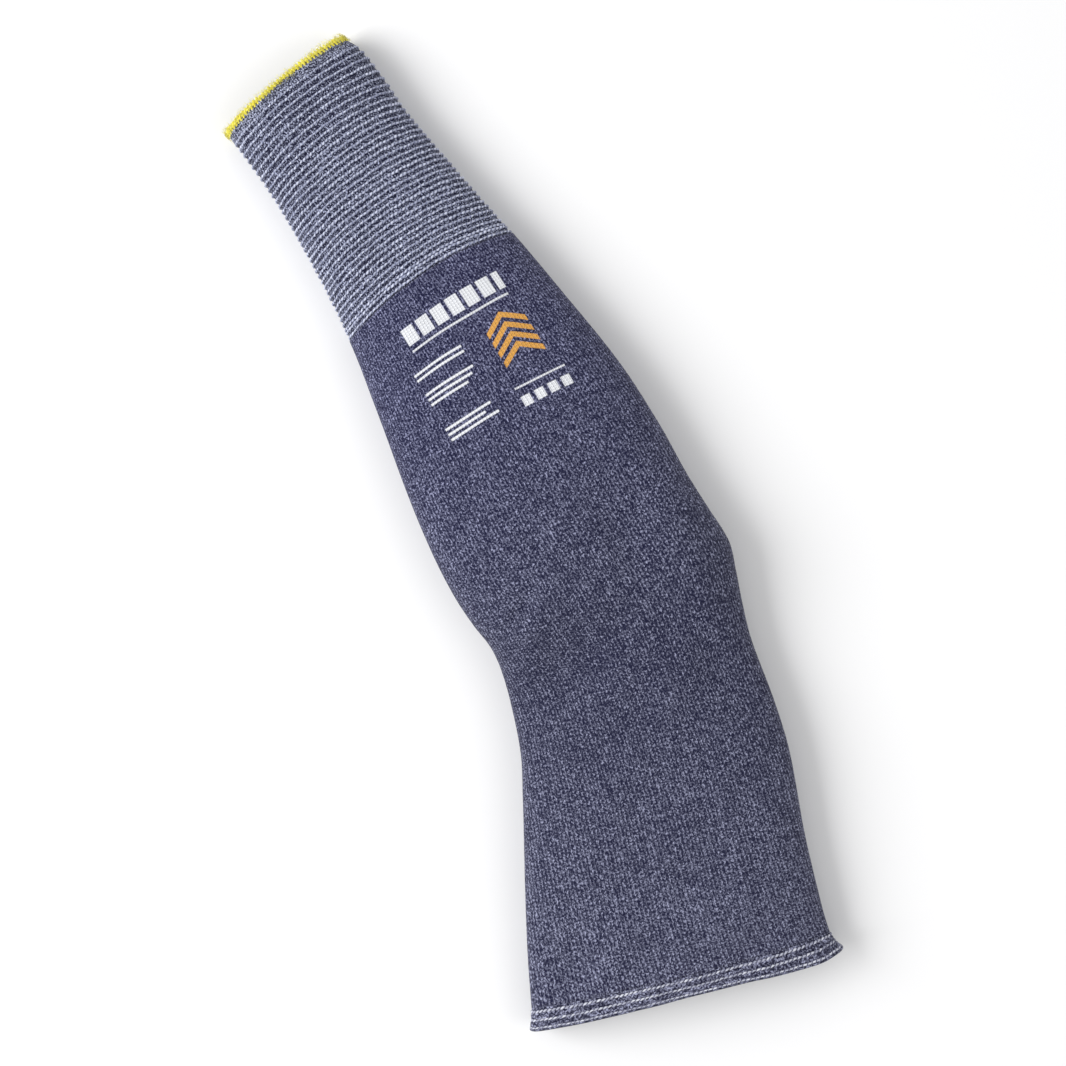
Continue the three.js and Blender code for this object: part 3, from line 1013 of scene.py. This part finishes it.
@dataclass
class RibbedCuff:
    """The cuff: a smooth band, raised light rows that tighten towards the join, a welt and a last row."""

    bench: Bench
    wall: float = 1.2 * MM
    rib_height: float = 0.8 * MM
    crest_sink: float = 0.3 * MM
    band_sink: float = 0.2 * MM
    tucked: float = 1.3 * MM
    rib_turns: tuple[float, ...] = (0, 6.75, 10.75, 17.75, 33)
    rib_stops: tuple[float, ...] = (7.4 * MM, 28.2 * MM, 38.9 * MM, 56.5 * MM, 93.6 * MM)
    welt_stops: tuple[float, ...] = (95.2 * MM, 96.5 * MM, 98.8 * MM)
    rings_a_rib: int = 8
    courses_a_rib: int = 3
    row_phase: float = 0.75
    loose_pitch: float = 2.4 * MM
    ridge_half: float = 0.75 * MM
    band_reach: float = 0.6 * MM
    band_blend: float = 0.8 * MM
    band_step: float = 0.7 * MM
    welt_step: float = 0.3 * MM
    inner_step: float = 3 * MM
    inner_course: float = 0.9 * MM
    columns: int = 150
    wales: int = 160
    first_row: float = 6.9 * MM
    stitches: int = 94
    row_half_width: float = 0.54 * MM
    row_half_height: float = 0.5 * MM
    steps_a_stitch: int = 4
    strand_sides: int = 6
    wander: float = 0.1 * MM

    def __post_init__(self) -> None:
        """Works out where the rows lie."""
        form = self.bench.form
        self.start = form.wrist_edge_depth + form.seam_gap
        self.end = self.start + form.cuff_length
        self.band_end, self.ribs_end = self.rib_stops[0], self.rib_stops[-1]
        self.rib_count = round(self.rib_turns[-1])

    def rib_place(self, turn: Union[float, np.ndarray]) -> Union[float, np.ndarray]:
        """The distance of a number of ribs from the band, the pitch tightening towards the join."""
        return np.interp(turn, self.rib_turns, self.rib_stops)

    def rib_turn(self, distance: float) -> float:
        """The number of ribs from the band at a distance, the other way round from rib_place."""
        beyond = max(0.0, distance - self.ribs_end) + min(0.0, distance - self.band_end)
        return float(np.interp(distance, self.rib_stops, self.rib_turns)) + beyond / self.loose_pitch

    def row_places(self) -> list[float]:
        """Distances of all light rows: the ribs, the welt's two and the last one."""
        ribs = [float(self.rib_place(i + self.row_phase)) for i in range(self.rib_count)]
        return [self.first_row, *ribs, *self.welt_stops]

    def rows(self) -> list[Row]:
        """Rings of the ground, with one ridge under each light row."""
        crests = np.array(self.row_places())
        stops = [spaced(self.start - self.tucked, self.band_end, self.band_step)]
        turns = np.arange(1, self.rib_count * self.rings_a_rib + 1) / self.rings_a_rib
        stops.append(self.rib_place(turns))
        stops.append(spaced(self.ribs_end, self.end, self.welt_step)[1:])
        made = []
        for d in np.concatenate(stops):
            near = float(np.abs(crests - d).min())
            ridge = math.exp(-((near / self.ridge_half) ** 2))
            flank = -self.rib_height + (self.rib_height - self.crest_sink) * ridge
            band = float(np.clip((self.band_end + self.band_reach - d) / self.band_blend, 0, 1))
            course = self.courses_a_rib * self.rib_turn(float(d))
            made.append(Row(float(d), flank * (1 - band) - self.band_sink * band, course))
        inside = -self.rib_height - self.wall
        turn = self.courses_a_rib * self.rib_turn(self.end)
        back = spaced(self.end, self.start, self.inner_step)
        return made + [Row(d, inside, turn + (self.end - d) / self.inner_course) for d in back]

    def strand_path(
        self, share: np.ndarray, angle: np.ndarray, place: float
    ) -> tuple[np.ndarray, np.ndarray, np.ndarray]:
        """A strand beaded by its slanted stitches, lying half in its ridge.

        Args:
            share: Shares of the way around the sleeve.
            angle: Angles around the strand.
            place: The strand's distance.

        Returns:
            Distances, shares around and outsets.
        """
        lean = 0.15 * np.cos(angle) / self.stitches
        swell = np.sin(2 * math.pi * 31 * share + 900 * place) * np.sin(2 * math.pi * 13 * share)
        bead = (0.56 + 0.44 * np.abs(np.sin(math.pi * (share * self.stitches)))) * (1 + 0.18 * swell)
        aside = self.wander * np.sin(2 * math.pi * 23 * share + 2100 * place)
        distance = place + self.row_half_width * bead * np.cos(angle) + aside
        outset = self.row_half_height * (bead * np.sin(angle) - 0.85)
        return distance, share + lean, outset

    def build(self, ground: bpy.types.Material, row_yarn: bpy.types.Material) -> list[bpy.types.Object]:
        form = self.bench.form
        piece = self.bench.wall("knit_cuff", self.rows(), self.columns, self.wales)
        dress(piece, ground, "cuff_knit")
        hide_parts("ribbed_cuff")
        strands = self.bench.strands(
            "cuff_rows",
            self.row_places(),
            self.strand_path,
            self.stitches * self.steps_a_stitch,
            self.strand_sides,
            self.stitches,
        )
        dress(strands, row_yarn, "cuff_knit")
        girth = form.girth((self.start + self.end) / 2)
        return [piece, strands]


@dataclass
class WristEdge:
    """The overlocked edge: a soft roll of yarn wound with close loops."""

    bench: Bench
    wall: float = 2.2 * MM
    roll_height: float = 0.6 * MM
    loops: int = 92
    steps_a_loop: int = 14
    strand_radius: float = 0.5 * MM
    strand_sides: int = 6
    core_shrink: float = 0.3 * MM
    overhang: float = 0.6 * MM
    narrowing: float = 0.55
    narrow_width: float = 0.05
    core_rings: int = 12
    core_columns: int = 150
    stitches_a_loop: int = 3
    ripples: tuple[tuple[int, float], ...] = ((17, 0.12 * MM), (41, 0.1 * MM), (67, 0.1 * MM))

    def core_rows(self) -> list[Row]:
        """Rings of the roll under the loops."""
        depth = self.bench.form.wrist_edge_depth
        middle = (self.roll_height - self.wall) / 2
        made = []
        for i in range(self.core_rings):
            angle = 2 * math.pi * (i + 0.5) / self.core_rings
            reach = depth / 2 - self.core_shrink
            rise = self.wall / 2 - 1.6 * self.core_shrink
            made.append(Row(depth / 2 - reach * math.cos(angle), middle + rise * math.sin(angle), i))
        return made

    def loop_path(
        self, share: np.ndarray, angle: np.ndarray, place: float
    ) -> tuple[np.ndarray, np.ndarray, np.ndarray]:
        """A strand wound around the roll.

        Args:
            share: Shares of the way around the sleeve.
            angle: Angles around the strand.
            place: The roll's distance.

        Returns:
            Distances, shares around and outsets.
        """
        form = self.bench.form
        middle = (self.roll_height - self.wall) / 2
        winding = 2 * math.pi * self.loops * share
        uneven = sum(size * np.sin(2 * math.pi * waves * share) for waves, size in self.ripples)
        reach = self.strand_radius * (np.sin(angle) - 1)
        narrow = 1 - self.narrowing * np.exp(-(((share - 0.5) / self.narrow_width) ** 2)) * (np.cos(winding) < 0)
        distance = place - (place + self.overhang + reach + uneven) * np.cos(winding) * narrow
        outset = middle + (self.wall / 2 + reach) * np.sin(winding)
        around = share + self.strand_radius * np.cos(angle) / form.girth(place)
        return distance, around, outset

    def build(self, finish: bpy.types.Material) -> list[bpy.types.Object]:
        """Makes the roll and its loops."""
        core = self.bench.wall("edge_roll", self.core_rows(), self.core_columns, self.core_columns)
        dress(core, finish, "edge_yarn")
        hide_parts("wrist_edge")
        middle = self.bench.form.wrist_edge_depth / 2
        loops = self.bench.strands(
            "edge_loops",
            [middle],
            self.loop_path,
            self.loops * self.steps_a_loop,
            self.strand_sides,
            self.loops * self.stitches_a_loop,
        )
        dress(loops, finish, "edge_yarn")
        return [core, loops]


@dataclass
class Fuzz:
    """Short loose fibres that stand off a stretch of the sleeve."""

    bench: Bench
    name: str
    start: float
    end: float
    count: int
    lengths: tuple[float, float]
    lifts: tuple[float, float]
    seed: int
    around: tuple[float, float] = (0.12, 0.88)
    curl: float = 1.4
    arch: float = 2.4
    thickness: float = 0.05 * MM

    def __post_init__(self) -> None:
        """Draws each fibre's root, way and curl."""
        draw = np.random.default_rng(self.seed)
        self.roots = draw.uniform(self.start, self.end, self.count)
        self.rounds = draw.uniform(*self.around, self.count)
        self.ways = draw.uniform(0, 2 * math.pi, self.count)
        self.curls = draw.uniform(-self.curl, self.curl, self.count)
        self.reaches = draw.uniform(*self.lengths, self.count)
        self.rises = draw.uniform(*self.lifts, self.count)

    def path(
        self, share: np.ndarray, angle: np.ndarray, number: int
    ) -> tuple[np.ndarray, np.ndarray, np.ndarray]:
        """A thin fibre that rises, bends over and ends in a point.

        Args:
            share: Shares of the fibre's length.
            angle: Angles around the fibre.
            number: The fibre's number.

        Returns:
            Distances, shares around and outsets.
        """
        form = self.bench.form
        root, reach = self.roots[number], self.reaches[number]
        way = self.ways[number] + self.curls[number] * share
        thick = self.thickness * np.sqrt(np.clip(4 * share * (1 - share), 0, 1))
        distance = root + reach * share * np.cos(way) + thick * np.cos(angle) * np.sin(way)
        aside = reach * share * np.sin(way) - thick * np.cos(angle) * np.cos(way)
        outset = self.rises[number] * np.sin(self.arch * share) + thick * np.sin(angle)
        return distance, self.rounds[number] + aside / form.girth(root), outset

    def build(self, finish: bpy.types.Material, slot: str) -> bpy.types.Object:
        """Makes the fibres."""
        fibres = self.bench.strands(self.name, range(self.count), self.path, 4, 3, 1)
        return dress(fibres, finish, slot)


@dataclass
class HemBand:
    """The folded hem with a rolled lip and three rows of pale chain stitches."""

    bench: Bench
    wall: float = 2.4 * MM
    roll_height: float = 0.6 * MM
    tuck: float = 4 * MM
    columns: int = 220
    wales: int = 150
    row_shares: tuple[float, float, float] = (0.15, 0.52, 0.86)
    stitches: int = 144
    row_half_width: float = 0.52 * MM
    row_half_height: float = 0.46 * MM
    wander: float = 0.08 * MM
    wander_waves: tuple[int, int] = (11, 37)
    steps_a_stitch: int = 4
    strand_sides: int = 6
    rings: int = 72
    course_pitch: float = 0.9 * MM

    def rows(self) -> list[Row]:
        """Rings of the folded band and its lip."""
        form = self.bench.form
        start, depth = form.starts[Zone.HEM], form.hem_depth
        lip = self.roll_height
        profile = (
            (-0.02, 0.0),
            (0.08, 0.0),
            (0.15, -0.15 * MM),
            (0.22, lip * 0.4),
            (0.33, lip * 0.65),
            (0.45, lip * 0.4),
            (0.52, -0.1 * MM),
            (0.59, lip * 0.5),
            (0.69, lip * 0.7),
            (0.79, lip * 0.5),
            (0.86, 0.0),
            (0.91, lip * 0.75),
            (0.95, lip * 0.6),
            (0.985, lip * 0.1),
            (1, (lip - self.wall) / 2),
            (0.985, -self.wall * 0.85),
            (0.94, -self.wall),
            (0.6, -self.wall),
            (0.3, -self.wall),
            (-0.02, -self.wall),
        )
        places = np.array([p for p, _ in profile])
        outs = np.array([o for _, o in profile])
        run = np.r_[0, np.cumsum(np.hypot(np.diff(places * depth), np.diff(outs)))]
        made = []
        for f in np.linspace(0, run[-1], self.rings):
            place = start + depth * float(np.interp(f, run, places))
            made.append(Row(place, float(np.interp(f, run, outs)), f / self.course_pitch))
        return made

    def strand_path(
        self, share: np.ndarray, angle: np.ndarray, place: float
    ) -> tuple[np.ndarray, np.ndarray, np.ndarray]:
        """A chain of slanted stitches sunk in its groove.

        Args:
            share: Shares of the way around the sleeve.
            angle: Angles around the strand.
            place: The row's distance.

        Returns:
            Distances, shares around and outsets.
        """
        lean = 0.25 * np.cos(angle) / self.stitches
        bead = 0.5 + 0.5 * np.abs(np.sin(math.pi * share * self.stitches))
        wander = self.wander * sum(np.sin(2 * math.pi * waves * share) for waves in self.wander_waves)
        distance = place + self.row_half_width * bead * np.cos(angle) + wander
        outset = self.row_half_height * (bead * np.sin(angle) + 0.2)
        return distance, share + lean, outset

    def build(self, ground: bpy.types.Material, thread: bpy.types.Material) -> list[bpy.types.Object]:
        form = self.bench.form
        piece = self.bench.wall("knit_hem", self.rows(), self.columns, self.wales)
        dress(piece, ground, "hem_knit")
        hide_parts("hem_band")
        places = [form.starts[Zone.HEM] + s * form.hem_depth for s in self.row_shares]
        strands = self.bench.strands(
            "hem_stitches",
            places,
            self.strand_path,
            self.stitches * self.steps_a_stitch,
            self.strand_sides,
            self.stitches,
        )
        dress(strands, thread, "hem_knit")
        girth = form.girth(form.length)
        return [piece, strands]


@dataclass(frozen=True)
class Lamp:
    """One square light that faces the sleeve."""

    name: str
    spot: tuple[float, float, float]
    size: float
    power: float


@dataclass
class Studio:
    """A pale floor, soft lights and a camera that looks down from above."""

    camera_height: float = 1.05
    view_width: float = 0.4279
    sensor: float = 36.0
    lean_degrees: float = 23.94
    target: tuple[float, float] = (0.00568, -0.00522)
    floor_half: float = 3.0
    floor_drop: float = 0.05 * MM
    floor_tones: tuple[Colour, Colour] = ((0.86, 0.86, 0.865), (0.88, 0.88, 0.885))
    key: Lamp = Lamp("key", (-1.3, 0.5, 1.15), 1.3, 32)
    fill: Lamp = Lamp("fill", (1.1, -0.7, 1.3), 1.4, 6)
    sky_strength: float = 0.6

    def build(self) -> None:
        """Makes the floor, the lights and the camera."""
        self._floor()
        self._lights()
        self._camera()

    def _floor(self) -> None:
        """A wide plain floor."""
        bm = bmesh.new()
        bmesh.ops.create_grid(bm, x_segments=1, y_segments=1, size=self.floor_half)
        bmesh.ops.translate(bm, verts=bm.verts, vec=(0, 0, -self.floor_drop))
        mesh = bpy.data.meshes.new("floor")
        bm.to_mesh(mesh)
        bm.free()
        floor = bpy.data.objects.new("floor", mesh)
        bpy.context.scene.collection.objects.link(floor)
        bench = NodeBench("floor_paint")
        spot = bench.node("ShaderNodeTexCoord").outputs["Object"]
        shade = bench.noise(spot, 3, 2, 0.5)
        colour = bench.mix(shade, *self.floor_tones)
        shader = bench.node("ShaderNodeBsdfPrincipled", {"Base Color": colour, "Roughness": 0.7})
        out = bench.node("ShaderNodeOutputMaterial")
        bench.tree.links.new(shader.outputs[0], out.inputs[0])
        floor.data.materials.append(bench.material)
        log.info("floor: ready")

    def _hang(self, lamp: Lamp) -> None:
        """Adds a square light and turns it to the sleeve."""
        light = bpy.data.lights.new(lamp.name, "AREA")
        light.shape = "SQUARE"
        light.size = lamp.size
        light.energy = lamp.power
        hung = bpy.data.objects.new(lamp.name, light)
        bpy.context.scene.collection.objects.link(hung)
        hung.location = lamp.spot
        back = hung.location.normalized()
        hung.rotation_euler = back.to_track_quat("Z", "Y").to_euler()

    def _lights(self) -> None:
        """A key light from the inner elbow's side, a weaker fill and an even sky."""
        self._hang(self.key)
        self._hang(self.fill)
        world = bpy.data.worlds.new("sky")
        world.use_nodes = True
        background = world.node_tree.nodes["Background"]
        background.inputs[0].default_value = (1, 1, 1, 1)
        background.inputs[1].default_value = self.sky_strength
        bpy.context.scene.world = world

    def _camera(self) -> None:
        """A long lens straight above, turned as the photograph is."""
        data = bpy.data.cameras.new("camera")
        data.sensor_width = self.sensor
        data.lens = self.sensor * self.camera_height / self.view_width
        data.clip_start = 0.01
        camera = bpy.data.objects.new("camera", data)
        bpy.context.scene.collection.objects.link(camera)
        camera.location = (*self.target, self.camera_height)
        camera.rotation_euler = (0, 0, -math.radians(self.lean_degrees))
        bpy.context.scene.camera = camera
        bpy.context.scene.view_settings.view_transform = "Standard"


BODY_KNIT = HeatherKnit(
    "navy_heather_knit",
    dark=tone(5, 7, 52),
    light=tone(160, 163, 198),
    far_dark=tone(14, 16, 50),
    far_light=tone(160, 163, 190),
    printed=Print(),
)
HEM_KNIT = HeatherKnit(
    "hem_heather_knit",
    dark=tone(12, 14, 44),
    light=tone(174, 177, 206),
    ridge_shade_share=0.05,
    stitch_share=0.3,
    leg_share=0.65,
)
CUFF_KNIT = HeatherKnit(
    "cuff_heather_knit",
    dark=tone(8, 12, 46),
    light=tone(194, 200, 228),
    ridge_shade_share=0.1,
    leg_share=0.8,
    fibre_share=0.85,
    level=0.34,
    pale_until=7.2 * MM,
    pale_rise=0.18,
)
ROW_YARN = Yarn(
    "pale_row_yarn",
    dark=tone(138, 143, 168),
    light=tone(220, 225, 244),
    gap_and_shade=tone(112, 117, 146),
)
HEM_THREAD = Yarn(
    "hem_thread",
    dark=tone(134, 136, 160),
    light=tone(230, 232, 243),
    gap_and_shade=tone(66, 68, 94),
    gap_share=0.3,
)
EDGE_YARN = Yarn(
    "yellow_edge_yarn",
    dark=tone(250, 236, 60),
    light=tone(255, 252, 150),
    gap_and_shade=tone(236, 220, 56),
    gap_share=0.2,
)


def main() -> None:
    """Builds the studio, then the sleeve piece by piece."""
    logging.basicConfig(level=logging.INFO, format="%(name)s %(message)s")
    Studio().build()
    bench = Bench(SleeveForm())
    edge_yarn = EDGE_YARN.material()
    WristEdge(bench).build(edge_yarn)
    edge_fuzz = Fuzz(
        bench,
        "edge_fuzz",
        start=-0.5 * MM,
        end=2.4 * MM,
        count=1800,
        lengths=(0.8 * MM, 2.2 * MM),
        lifts=(0.3 * MM, 1.2 * MM),
        seed=5,
    )
    edge_fuzz.build(edge_yarn, "edge_yarn")
    RibbedCuff(bench).build(CUFF_KNIT.material(), ROW_YARN.material())
    BodyTube(bench).build(BODY_KNIT.material())
    HemBand(bench).build(HEM_KNIT.material(), HEM_THREAD.material())


if __name__ == "__main__":
    main()
